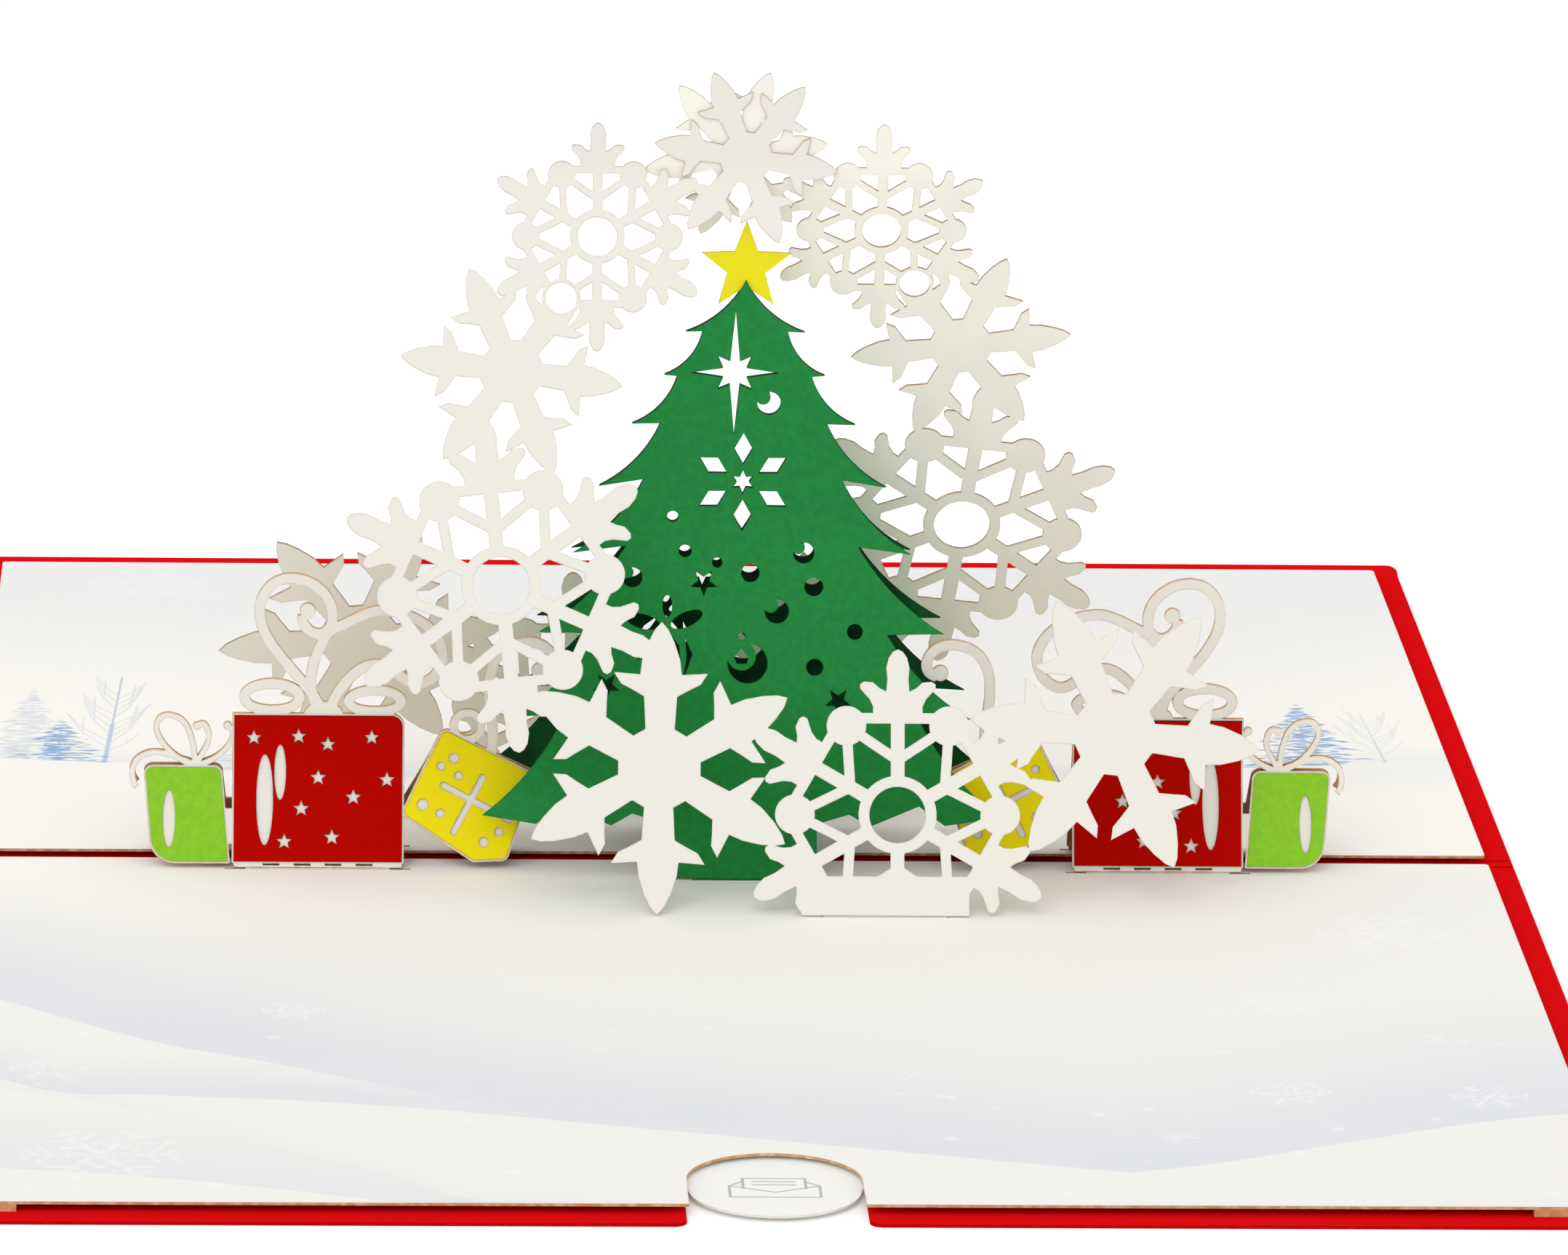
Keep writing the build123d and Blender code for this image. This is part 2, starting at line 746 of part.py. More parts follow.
def green_overlay():
    """Green paper with one slim slot."""
    with BuildSketch() as paper:
        add(green_outline())
        for x, y, wide, tall in green_slot_shares:
            with Locations((green_left + green_width * x, gift_lift + green_height * y)):
                Ellipse(green_width * wide / 2, green_height * tall / 2, mode=Mode.SUBTRACT)
    return paper.sketch


def yellow_overlay():
    """Yellow paper with a cross of slots and round holes."""
    with BuildSketch() as paper:
        add(yellow_outline())
        with Locations(Location((yellow_x, yellow_lift), yellow_turn)):
            for x, y, size in yellow_hole_shares:
                with Locations((yellow_size * x, yellow_size * y)):
                    Circle(yellow_size * size, mode=Mode.SUBTRACT)
            for x, y, wide, tall in yellow_slot_shares:
                with Locations((yellow_size * x, yellow_size * y)):
                    turn = 0 if wide > tall else 90
                    long, slim = max(wide, tall), min(wide, tall)
                    SlotOverall(yellow_size * long, yellow_size * slim, rotation=turn, mode=Mode.SUBTRACT)
    return paper.sketch


def big_bow():
    """Bow of a tall curled loop, an arched loop and two low loops."""
    size = big_bow_height
    with BuildSketch() as bow:
        for x, y, wide, tall in low_loop_shares:
            with Locations((x * size, y * size)):
                Ellipse(wide * size, tall * size)
                Ellipse(wide * size - bow_band, tall * size - bow_band, mode=Mode.SUBTRACT)
        for line in (tall_loop_shares, curl_in_shares, stem_shares, arch_shares):
            add(ribbon(line, size, bow_band))
        Ellipse(knot_wide_share * size, knot_share * size)
        with Locations(tuple(share * size for share in curl_ball_shares)):
            Circle(bow_band * ball_band_share)
    return bow.sketch


def small_bow():
    """Bow of a loop in two halves, a curl, a hook and a long tail."""
    size = small_bow_height
    with BuildSketch() as bow:
        for line in (small_loop_up_shares, small_loop_down_shares):
            add(ribbon(line, size, small_band))
        for line in (small_curl_shares, small_hook_shares, small_tail_shares):
            add(ribbon(line, size, small_band))
        for line in (small_curl_shares, small_hook_shares):
            with Locations(scaled([line[-1]], size)[0]):
                Circle(small_ball_share * size)
    return bow.sketch


def curl():
    """Hooked curl and a round loop on the yellow parcel."""
    size = curl_height
    with BuildSketch() as hook:
        add(ribbon(hook_shares, size, bow_band))
        with Locations(scaled([hook_ball_shares], size)[0]):
            Circle(bow_band * ball_band_share)
    return hook.sketch


def gift_sheet():
    """White sheet under the papers of one group, with its bows, bridge and strip along the page."""
    with BuildSketch() as sheet:
        for outline in (red_outline(), green_outline(), yellow_outline()):
            add(offset(outline, amount=overlay_edge, mode=Mode.PRIVATE))
        with Locations((green_right, gift_lift + bridge_height)):
            Rectangle(4 * (red_left - green_right), bridge_height)
        with Locations((red_left, page_clear)):
            Rectangle(red_width, gift_lift, align=(Align.MIN, Align.MIN))
        with Locations((red_middle, dash_lift)):
            with GridLocations(dash_pitch, 0, 4, 1):
                Rectangle(dash_width, dash_height, mode=Mode.SUBTRACT)
        with Locations(bow_place):
            add(big_bow())
        with Locations(small_bow_place):
            add(small_bow())
        hook_x, hook_y = hook_place_shares
        with Locations((yellow_x + yellow_size * hook_x, yellow_lift + yellow_size * hook_y)):
            add(curl())
        loop_x, loop_y = side_loop_place_shares
        with Locations((yellow_x + yellow_size * loop_x, yellow_lift + yellow_size * loop_y)):
            Circle(yellow_size * side_loop_share)
            Circle(yellow_size * side_loop_hole_share, mode=Mode.SUBTRACT)
        trim_above_page(card_width)
    return sheet.sketch


gift_bands = leaning_bands(gift_base, 0, gift_lean, gift_middle, gift_centre)
gift_mirror = Plane.XZ.offset(gift_centre)
gift_foot_base = gift_base + gift_centre
papers = {"red": red_overlay(), "green": green_overlay(), "yellow": yellow_overlay()}
sheet_outline = gift_sheet()

for side, turn in (("left", 1), ("right", -1)):
    outline = sheet_outline if turn > 0 else mirror(sheet_outline, about=Plane.YZ)
    with BuildPart() as gift_front:
        raise_sheet(outline, gift_bands)
        add_foot(gift_foot_base, gift_middle + turn * red_middle, gift_tab_width, outward=True)
    with BuildPart() as gift_rear:
        mirror(gift_front.part, about=gift_mirror)
    for sheet, half in ((gift_front, "front"), (gift_rear, "rear")):
        sheet.part.label = f"gifts_{side}_{half}"
        export_step(sheet.part, f"parts/{sheet.part.label}.step")
    for colour, flat_paper in papers.items():
        paper_outline = flat_paper if turn > 0 else mirror(flat_paper, about=Plane.YZ)
        with BuildPart() as paper_front:
            raise_sheet(paper_outline, gift_bands, sheet_thick, overlay_thick)
        with BuildPart() as paper_rear:
            mirror(paper_front.part, about=gift_mirror)
        for paper, half in ((paper_front, "front"), (paper_rear, "rear")):
            paper.part.label = f"{colour}_paper_{side}_{half}"
            export_step(paper.part, f"parts/{paper.part.label}.step")
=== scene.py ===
"""Finishes and stage of the pop up card: printed pages, red cover, and sheets of cut card with scorched edges."""

import math

import bmesh
import bpy
import numpy as np
from bpy.props import FloatProperty, FloatVectorProperty, PointerProperty
from mathutils import Matrix, Vector


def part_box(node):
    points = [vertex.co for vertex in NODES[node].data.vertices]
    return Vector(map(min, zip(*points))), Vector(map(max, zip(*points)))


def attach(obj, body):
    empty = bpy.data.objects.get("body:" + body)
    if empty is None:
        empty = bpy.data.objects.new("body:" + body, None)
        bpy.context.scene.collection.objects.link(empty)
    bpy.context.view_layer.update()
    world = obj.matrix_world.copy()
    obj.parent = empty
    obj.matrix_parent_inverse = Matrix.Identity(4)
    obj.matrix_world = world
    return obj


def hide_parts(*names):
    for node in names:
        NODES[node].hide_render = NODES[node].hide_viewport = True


bl_info = {
    "name": "Pop Up Card Finishes",
    "version": (1, 0, 0),
    "blender": (4, 5, 0),
    "location": "3D View > Sidebar > Card",
    "description": "Paper, print and scorched edges for a pop up card of cut sheets, with a plain stage",
    "category": "Material",
}

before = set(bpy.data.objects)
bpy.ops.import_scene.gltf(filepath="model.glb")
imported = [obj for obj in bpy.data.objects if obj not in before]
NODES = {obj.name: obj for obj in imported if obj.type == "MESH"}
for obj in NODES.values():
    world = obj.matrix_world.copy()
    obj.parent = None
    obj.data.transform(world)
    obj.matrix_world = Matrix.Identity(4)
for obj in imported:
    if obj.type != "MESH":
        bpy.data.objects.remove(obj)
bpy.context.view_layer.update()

MM = 0.001

# Thicknesses of the card and papers, and leans of the upright sheets in degrees, as in the solids.
COVER_THICK = 0.4 * MM
PAGE_THICK = 0.35 * MM
STRIP_THICK = 0.85 * MM
SHEET_THICK = 0.3 * MM
PAPER_THICK = 0.25 * MM
TAB_RADIUS = 10 * MM
WREATH_LEAN = 18.6
TREE_LEAN = 16.67
GIFT_LEAN = 21.8
UP = (0.0, 0.0, 1.0)
BACK = (0.0, 1.0, 0.0)

# The cover's curl: bands that its far margin is cut into, power of its rise, and the gap at which points merge.
CURL_STEPS = 8
CURL_POWER = 1.5
MERGE_GAP = 0.01 * MM

# Card stock: where a normal's share along the sheet's own makes a cut edge or the inner face, the rim's look in
# shares of the thickness, scorch marks per metre, and how far the fibres and the clouds darken, roughen and lift it.
CUT_SHARES = (0.8, 0.45)
INNER_SHARES = (-0.2, -0.6)
RIM_LOOK = 0.8
SCORCH_GRAIN = 900.0
FIBRE_TONE = 0.10
CLOUD_TONE = 0.06
TONE_STRENGTH = 0.35
FIBRE_ROUGHNESS = 0.12
BUMP_STRENGTH = 0.35

# Printed trees: tiers of a fir and the stretch of its strokes, and boughs of a bare tree with the steps that make
# them unlike each other.
FIR_TIERS = 8.0
FIR_STRETCH = (70.0, 260.0, 1.0)
TREE_BOUGHS = 18
LONG_STEP = 0.618
SHORT_STEP = 0.382

# Stage: where the soft sun shines to, its spread in degrees, and the camera's sensor in millimetres.
SUN_HEADING = (0.3, 0.95, -0.8)
SUN_SPREAD = 50
SENSOR_WIDTH = 36


def srgb(red, green, blue):
    """Linear colour of a display colour whose parts run from 0 to 255."""
    parts = []
    for value in (red, green, blue):
        share = value / 255
        parts.append(share / 12.92 if share <= 0.04045 else ((share + 0.055) / 1.055) ** 2.4)
    return tuple(parts)


def colour_property(name, description, red, green, blue):
    """Colour that a user can change."""
    return FloatVectorProperty(
        name=name, description=description, default=srgb(red, green, blue), subtype="COLOR", min=0, max=1
    )


def length_property(name, description, default):
    """Length that a user can change."""
    return FloatProperty(name=name, description=description, default=default, unit="LENGTH", min=0, precision=5)


def share_property(name, description, default):
    """Share from 0 to 1 that a user can change."""
    return FloatProperty(name=name, description=description, default=default, subtype="FACTOR", min=0, max=1)


def place_property(name, description, default, precision):
    """Point in space that a user can move."""
    return FloatVectorProperty(
        name=name, description=description, default=default, subtype="XYZ", unit="LENGTH", precision=precision
    )


class CardColours(bpy.types.PropertyGroup):
    """Colours of the card stock, papers, inks and cut edges."""

    cover: colour_property("Cover", "Red card of the cover", 222, 15, 20)
    page: colour_property("Page", "Unprinted paper of the pages", 247, 245, 240)
    # Painted light: paper painted lighter and warmer than the page, in place of the light that the upright sheets block
    # by the fold of the front page. It is also the paper of the back page.
    page_lightened: colour_property("Lightened page", "Paper painted lighter against the shade of the upright sheets", 254, 251, 244)
    page_ink: colour_property("Page ink", "Pale blue ink of the snow and sky", 204, 212, 229)
    tree_ink: colour_property("Tree ink", "Blue ink of the printed trees", 130, 168, 216)
    snow: colour_property("Snow", "White of the printed flakes", 252, 252, 250)
    white_card: colour_property("White card", "White card of the cut sheets", 230, 227, 218)
    # Painted light: the inner faces of the snowflake sheets are the same white card, painted lighter and creamier in
    # place of light in the shade between the sheets.
    inner_card_lightened: colour_property("Lightened inner card", "Inner face of the white sheets, painted lighter and creamier against its shade", 244, 242, 229)
    smoked: colour_property("Smoked card", "Browned inner face of the gift sheets", 176, 132, 88)
    slip: colour_property("Slip", "White card of the message slip", 249, 248, 244)
    slip_edge: colour_property("Slip edge", "Cut edge of the message slip", 226, 218, 204)
    slip_ink: colour_property("Slip ink", "Grey ink on the thumb tab", 168, 171, 176)
    tree: colour_property("Tree", "Green card of the tree", 38, 136, 66)
    star: colour_property("Star", "Yellow card of the star", 234, 223, 28)
    red_paper: colour_property("Red paper", "Red paper of the tall gifts", 177, 9, 3)
    lime_paper: colour_property("Lime paper", "Green paper of the small gifts", 137, 198, 50)
    yellow_paper: colour_property("Yellow paper", "Yellow paper of the tipped gifts", 236, 219, 24)
    scorch: colour_property("Scorch", "Tan that cutting leaves on white edges", 150, 112, 66)
    page_scorch: colour_property("Page scorch", "Tan that cutting leaves on the pages and ribbons", 196, 150, 92)
    # Painted shade: dark green on the inner faces of the tree sheets, in place of the shade between them.
    tree_inner_painted_shade: colour_property("Tree inner shade", "Dark inner face of the tree sheets", 20, 66, 38)
    char: colour_property("Char", "Dark that cutting leaves on coloured edges", 34, 26, 16)


class CardFinish(bpy.types.PropertyGroup):
    """Grain of the card and depth of its scorched rim."""

    fibre_size: length_property("Fibre size", "Width of one fibre of the paper", 0.22 * MM)
    cloud_size: length_property("Cloud size", "Width of the soft clouds in the card stock", 6 * MM)
    felt_size: length_property("Felt size", "Width of the mottles in the soft papers", 0.9 * MM)
    fibre_depth: length_property("Fibre depth", "Height of the paper's fibres", 0.012 * MM)
    curl: length_property("Curl", "Height of the curl in the far margin of the cover", 1.0 * MM)
    card_roughness: share_property("Card roughness", "Roughness of bare card", 0.72)
    cover_roughness: share_property("Cover roughness", "Roughness of the cover", 0.5)


class StageSettings(bpy.types.PropertyGroup):
    """Floor, lamps and camera."""

    floor_size: length_property("Floor size", "Side of the square floor", 8.0)
    floor: colour_property("Floor", "Pale floor", 248, 248, 248)
    floor_lift: FloatProperty(
        name="Floor lift", description="Light that the floor adds for the camera", default=0.16, min=0
    )
    fill: FloatProperty(name="Fill", description="Light from all round", default=0.80, min=0)
    key: FloatProperty(name="Key", description="Soft light from the front left above", default=0.9, min=0)
    eye: place_property("Eye", "Place of the camera", (-0.05444, -1.28474, 0.36709), 5)
    target: place_property("Target", "Point that the camera looks at", (0.006438, 0.0, 0.031035), 6)
    roll: FloatProperty(
        name="Roll", description="Turn of the camera about its view", default=math.radians(1.039), subtype="ANGLE"
    )
    lens: FloatProperty(name="Lens", description="Focal length in millimetres on a 36 mm sensor", default=241.37, min=1)


def curled_cover(settings):
    """The cover with its far margin curled up a little: flat to the page's far edge, and from there lifted by the
    curl times the share of the margin passed, to the power 1.5.
    """
    flat = NODES["cover"]
    mesh = bpy.data.meshes.new("cover_curled")
    shape = bmesh.new()
    shape.from_mesh(flat.data)
    bmesh.ops.remove_doubles(shape, verts=shape.verts, dist=MERGE_GAP)
    start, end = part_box("back_page")[1].y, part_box("cover")[1].y
    for share in np.linspace(0, 1, CURL_STEPS, endpoint=False):
        everything = [*shape.verts, *shape.edges, *shape.faces]
        line = (0, start + (end - start) * share, 0)
        bmesh.ops.bisect_plane(shape, geom=everything, plane_co=line, plane_no=BACK)
    shape.to_mesh(mesh)
    shape.free()
    points = np.empty(3 * len(mesh.vertices))
    mesh.vertices.foreach_get("co", points)
    points = points.reshape(-1, 3)
    passed = np.clip((points[:, 1] - start) / (end - start), 0, 1)
    points[:, 2] += settings.curl * passed**CURL_POWER
    mesh.vertices.foreach_set("co", points.ravel())
    mesh.update()
    piece = bpy.data.objects.new("cover_curled", mesh)
    bpy.context.scene.collection.objects.link(piece)
    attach(piece, "card")
    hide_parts("cover")
    return piece


class Shade:
    """A number, colour or vector of a material. Arithmetic on it adds Math nodes."""

    def __init__(self, tree, socket=None):
        self.tree = tree
        self.socket = socket

    def node(self, kind, inputs=None, output=0, curve=None, **settings):
        """Adds one node of any kind: its settings and curve points first, then its sockets."""
        made = self.tree.nodes.new(kind)
        for key, value in settings.items():
            setattr(made, key, value)
        if curve:
            points = made.mapping.curves[0].points
            points[0].location, points[-1].location = curve[0], curve[-1]
            for place in curve[1:-1]:
                points.new(*place)
            made.mapping.update()
        for key, value in (inputs or {}).items():
            if isinstance(value, Shade):
                self.tree.links.new(value.socket, made.inputs[key])
            else:
                made.inputs[key].default_value = value
        return Shade(self.tree, made.outputs[output])

    def math(self, operation, *values):
        return self.node("ShaderNodeMath", dict(enumerate(values)), operation=operation)

    def vector(self, operation, *values, output=0):
        return self.node("ShaderNodeVectorMath", dict(enumerate(values)), output, operation=operation)

    def __add__(self, other):
        return self.math("ADD", self, other)

    def __radd__(self, other):
        return self.math("ADD", other, self)

    def __sub__(self, other):
        return self.math("SUBTRACT", self, other)

    def __rsub__(self, other):
        return self.math("SUBTRACT", other, self)

    def __mul__(self, other):
        return self.math("MULTIPLY", self, other)

    def __rmul__(self, other):
        return self.math("MULTIPLY", other, self)

    def __truediv__(self, other):
        return self.math("DIVIDE", self, other)

    def __abs__(self):
        return self.math("ABSOLUTE", self)

    def rise(self, low, high):
        """0 below low and 1 above high, with a smooth step between. High may be the lower one."""
        inputs = {"Value": self, "From Min": low, "From Max": high}
        return self.node("ShaderNodeMapRange", inputs, interpolation_type="SMOOTHSTEP")

    def largest(self, other):
        return self.math("MAXIMUM", self, other)

    def part(self, name):
        return self.node("ShaderNodeSeparateXYZ", {0: self}, name)

    def over(self, below, colour):
        """Colour laid over the one below, as strongly as this mask."""
        inputs = {0: self, 6: below if isinstance(below, Shade) else (*below, 1)}
        inputs[7] = colour if isinstance(colour, Shade) else (*colour, 1)
        return self.node("ShaderNodeMix", inputs, 2, data_type="RGBA")

    def noise(self, scale, detail=2.0):
        """Noise at this place."""
        return self.node("ShaderNodeTexNoise", {"Vector": self, "Scale": scale, "Detail": detail}, "Fac")

    def length(self):
        """Length of this vector."""
        return self.vector("LENGTH", self, output="Value")

    def dot(self, other):
        """How far this vector lies along another."""
        return self.vector("DOT_PRODUCT", self, other, output="Value")


def card_colours():
    return bpy.context.scene.card_colours


def card_finish():
    return bpy.context.scene.card_finish


def dress(node, material):
    """Gives a piece of the card its finish."""
    NODES[node].data.materials.clear()
    NODES[node].data.materials.append(material)


def card_stock(name, face, edge, facing, thick, rough, rim=0.5, print_on=None, inner=None, gloss=0.15, felt=0.0):
    """Card or paper: fibres and soft clouds on its faces, scorched cut edges and a faint rim beside them.

    A face is where the normal lies along the sheet's own, and a cut edge where it lies across it. The rim is where
    a short look into the sheet meets a cut edge. The inner face has its own colour: painted light on the wreath,
    painted shade on the tree and the browned back on the gift sheets. Felt is a coarser mottle.
    """
    finish = card_finish()
    material = bpy.data.materials.new(name)
    material.use_nodes = True
    tree = material.node_tree
    paint = tree.nodes["Principled BSDF"]
    root = Shade(tree)
    place = root.node("ShaderNodeTexCoord", output="Object")
    normal = root.node("ShaderNodeTexCoord", output="Normal")
    turned = normal.dot(facing)
    cut = abs(turned).rise(*CUT_SHARES)
    look = {"Distance": thick * RIM_LOOK}
    open_share = root.node("ShaderNodeAmbientOcclusion", look, "AO", inside=True, only_local=True, samples=6)
    edge_noise = place.noise(SCORCH_GRAIN)
    halo = (1 - open_share).rise(0.05, 0.6) * rim * edge_noise.rise(0.25, 0.65)
    fibres = place.noise(1 / finish.fibre_size, 3.0)
    clouds = place.noise(1 / finish.cloud_size, 2.0)
    tone = (fibres - 0.5) * FIBRE_TONE + (clouds - 0.5) * CLOUD_TONE
    colour = print_on(place) if print_on else face
    darker = tuple(share * 0.75 for share in face[:3])
    colour = (tone.rise(0.0, FIBRE_TONE + CLOUD_TONE) * TONE_STRENGTH).over(colour, darker)
    if felt:
        mottle = place.noise(1 / finish.felt_size, 4.0).rise(0.36, 0.64)
        colour = (mottle * felt).over(colour, tuple(share * 0.6 for share in face[:3]))
    # Inner face: painted light on the wreath sheets and painted shade on the tree sheets; on the gift sheets, their
    # browned back.
    if inner:
        colour = turned.rise(*INNER_SHARES).over(colour, (clouds.rise(0.3, 0.7) * 0.3).over(inner, face))
    colour = halo.over(colour, edge)
    worn_edge = (edge_noise.rise(0.35, 0.75) * 0.35).over(edge, face)
    colour = cut.over(colour, worn_edge)
    relief = {"Strength": BUMP_STRENGTH, "Distance": finish.fibre_depth, "Height": fibres + clouds * 2}
    bump = root.node("ShaderNodeBump", relief, "Normal")
    tree.links.new(colour.socket, paint.inputs["Base Color"])
    tree.links.new((rough + (fibres - 0.5) * FIBRE_ROUGHNESS).socket, paint.inputs["Roughness"])
    tree.links.new(bump.socket, paint.inputs["Normal"])
    paint.inputs["Specular IOR Level"].default_value = gloss
    return material


def leaning(lean, side):
    """Normal of a sheet that leans from the page to the middle, on the front (1) or the back (-1) half."""
    turn = math.radians(lean)
    return (0.0, -side * math.cos(turn), math.sin(turn))


def page_place(place, node):
    """Place on a page in shares of its width, from its left end and its edge nearest the reader."""
    low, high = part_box(node)
    return scaled_place(place, low, high.x - low.x)


def scaled_place(place, low, width):
    """Place measured from a corner, in shares of a width."""
    moved = place.vector("SUBTRACT", place, tuple(low))
    return moved.vector("DIVIDE", moved, (width, width, width))


# Printed flakes of the front and the back page, as (across, up, reach) in shares of the page's width.
FLAKE_SHARES = [
    (0.064, 0.265, 0.026),
    (0.099, 0.092, 0.052),
    (0.214, 0.390, 0.022),
    (0.824, 0.225, 0.028),
    (0.945, 0.219, 0.026),
    (0.834, 0.422, 0.024),
    (0.915, 0.574, 0.050),
    (0.750, 0.133, 0.012),
    (0.924, 0.342, 0.012),
    (0.592, 0.256, 0.010),
]
BACK_FLAKE_SHARES = [
    (0.105, 0.700, 0.045),
    (0.175, 0.560, 0.030),
    (0.080, 0.640, 0.012),
    (0.085, 0.560, 0.010),
    (0.930, 0.640, 0.012),
    (0.700, 0.700, 0.050),
]

# Arms and barbs of a printed flake, in shares of its reach: their soft edges, where barbs start, and their turn.
ARM_EDGE = (0.09, 0.03)
BARB_EDGE = (0.07, 0.02)
BARB_STARTS = (0.30, 0.55, 0.78)
BARB_TURN = math.pi / 3
TWELFTH = math.pi / 6


def snowflakes(place, flakes):
    """Mask of six-armed flakes: the nearest one's place is folded into a twelfth, where an arm and barbs are lines."""
    best = None
    for x, y, reach in flakes:
        gap = place.vector("SUBTRACT", place, (x, y, 0.0))
        gap = gap.vector("DIVIDE", gap, (reach, reach, 1.0))
        size = place.node("ShaderNodeCombineXYZ", {"X": gap.part("X"), "Y": gap.part("Y")})
        if best is None:
            best = size
            continue
        nearer = best.math("GREATER_THAN", best.length(), size.length())
        best = place.node("ShaderNodeMix", {0: nearer, 4: best, 5: size}, 1, data_type="VECTOR")
    reach = best.length()
    angle = place.math("ARCTAN2", best.part("Y"), best.part("X"))
    fold = place.math("PINGPONG", angle, TWELFTH)
    along = reach * place.math("COSINE", fold)
    across = reach * place.math("SINE", fold)
    mask = across.rise(*ARM_EDGE)
    for start in BARB_STARTS:
        gap = abs((along - start) * math.sin(BARB_TURN) - across * math.cos(BARB_TURN))
        barb = gap.rise(*BARB_EDGE) * along.rise(start + 0.20, start + 0.14) * along.rise(start - 0.02, start)
        mask = mask.largest(barb)
    return mask * reach.rise(1.0, 0.85)


def falling_snow(place, scale):
    """Mask of small round specks, a few in each cell of a loose grid."""
    cell = place.node("ShaderNodeTexVoronoi", {"Vector": place, "Scale": scale}, "Distance")
    pick = place.node("ShaderNodeTexVoronoi", {"Vector": place, "Scale": scale}, "Color").part("X")
    return cell.rise(0.20, 0.06) * pick.rise(0.62, 0.72)


# Ridges of the snow hills as (across, height) points, in shares of the page's width.
RIDGE_SHARES = {
    "far": [
        (0, 0.44), (0.03, 0.413), (0.135, 0.318), (0.188, 0.287), (0.249, 0.247), (0.34, 0.186), (0.42, 0.13), (1, 0),
    ],
    "middle": [
        (0, 0.27), (0.035, 0.244), (0.076, 0.215), (0.127, 0.212), (0.264, 0.193), (0.429, 0.147), (0.569, 0.106),
        (0.716, 0.063), (0.8, 0.04), (1, 0),
    ],
    "right": [
        (0, 0), (0.55, 0), (0.66, 0.042), (0.716, 0.064), (0.762, 0.081), (0.856, 0.129), (0.952, 0.174), (1, 0.187),
    ],
    "near": [
        (0, 0.235), (0.082, 0.203), (0.158, 0.154), (0.219, 0.099), (0.278, 0.05), (0.308, 0.016), (0.36, 0), (1, 0),
    ],
    "foot": [(0, 0.07), (0.145, 0.044), (0.219, 0.021), (0.277, 0.002), (1, 0)],
}


# Blue shade above each ridge: its depth in shares of the page's width, and its strength.
HILL_SHADES = {"far": (0.30, 0.44), "middle": (0.10, 0.42), "near": (0.03, 0.10), "foot": (0.16, 0.30)}
RIDGE_EDGE = 0.0015
SOFT_EDGE = 0.006


def skyline(across, points):
    """Height of a ridge at each place across a page, on a smooth curve through points."""
    return across.node("ShaderNodeFloatCurve", {"Value": across}, curve=points)


def snow_hills(place):
    """Front page: bare paper, painted lighter and warmer by the fold as painted light against the shade of the upright
    sheets, then snow hills, each shaded with pale blue just above the next ridge.
    """
    colours = card_colours()
    spot = page_place(place, "front_page")
    across, up = spot.part("X"), spot.part("Y")
    ridges = {name: skyline(across, points) for name, points in RIDGE_SHARES.items()}
    low_ridge = ridges["middle"].largest(ridges["right"])
    drift = spot.noise(9.0, 3.0)

    def shade_above(ridge, depth, strength):
        """Blue that fades with the height above a ridge, and is none below it."""
        height = up - ridge
        return height.rise(depth, 0.0) * height.rise(-RIDGE_EDGE, RIDGE_EDGE) * strength

    def below(ridge, edge=RIDGE_EDGE):
        return (up - ridge).rise(edge, -edge)

    below_middle = below(low_ridge)
    below_near = below(ridges["near"], SOFT_EDGE)
    ink = shade_above(ridges["far"].largest(low_ridge), *HILL_SHADES["far"])
    ink = ink.largest(shade_above(low_ridge, *HILL_SHADES["middle"]) * below(ridges["far"]))
    ink = ink.largest(shade_above(ridges["near"], *HILL_SHADES["near"]) * below_middle)
    ink = ink.largest(shade_above(ridges["foot"], *HILL_SHADES["foot"]) * below_near * below_middle)
    ink = ink * (0.75 + drift * 0.5)
    # Painted light: by the fold, most towards the left, the paper is painted lighter and warmer against the shade of
    # the upright sheets.
    painted_light_by_fold = up.rise(0.46, 0.74) * across.rise(0.95, 0.25)
    bare = painted_light_by_fold.over(colours.page, colours.page_lightened)
    page = ink.over(bare, colours.page_ink)
    flakes = snowflakes(spot, FLAKE_SHARES) * spot.noise(160.0).rise(0.3, 0.6)
    snow = flakes.largest(falling_snow(spot, 34.0) * up.rise(0.5, 0.3))
    return (snow * 0.5).over(page, colours.snow)


def fir(spot, middle, foot, top, half, lean):
    """Mask of a fir: a triangle whose sides are cut into boughs, drawn in short level strokes."""
    across, up = spot.part("X"), spot.part("Y")
    down = (top - up) / (top - foot)
    side = abs(across - middle - (up - foot) * lean) / half
    bough = spot.math("FRACT", down * FIR_TIERS)
    reach = down * (0.55 + bough * 0.45) + 0.02
    body = (reach - side).rise(0.0, 0.10) * down.rise(0.0, 0.04) * down.rise(1.02, 0.98)
    stretched = spot.vector("MULTIPLY", spot, FIR_STRETCH)
    strokes = (stretched.noise(1.0, 2.0) + side.rise(0.4, 0.0) * 0.05).rise(0.46, 0.57)
    trunk = side.rise(0.05, 0.0) * down.rise(0.1, 0.3) * down.rise(1.02, 0.98) * 0.6
    return (body * strokes).largest(trunk)


def stroke(spot, start, end, width):
    """Mask of a straight stroke: the distance to the nearest point between its ends."""
    run = (end[0] - start[0], end[1] - start[1], 0.0)
    steps = run[0] ** 2 + run[1] ** 2
    flat = spot.vector("MULTIPLY", spot, (1.0, 1.0, 0.0))
    gap = flat.vector("SUBTRACT", flat, (*start, 0.0))
    share = spot.node("ShaderNodeClamp", {"Value": gap.dot(run) / steps})
    nearest = spot.node("ShaderNodeVectorMath", {0: run, "Scale": share}, operation="SCALE")
    return gap.vector("SUBTRACT", gap, nearest).length().rise(width, width * 0.4)


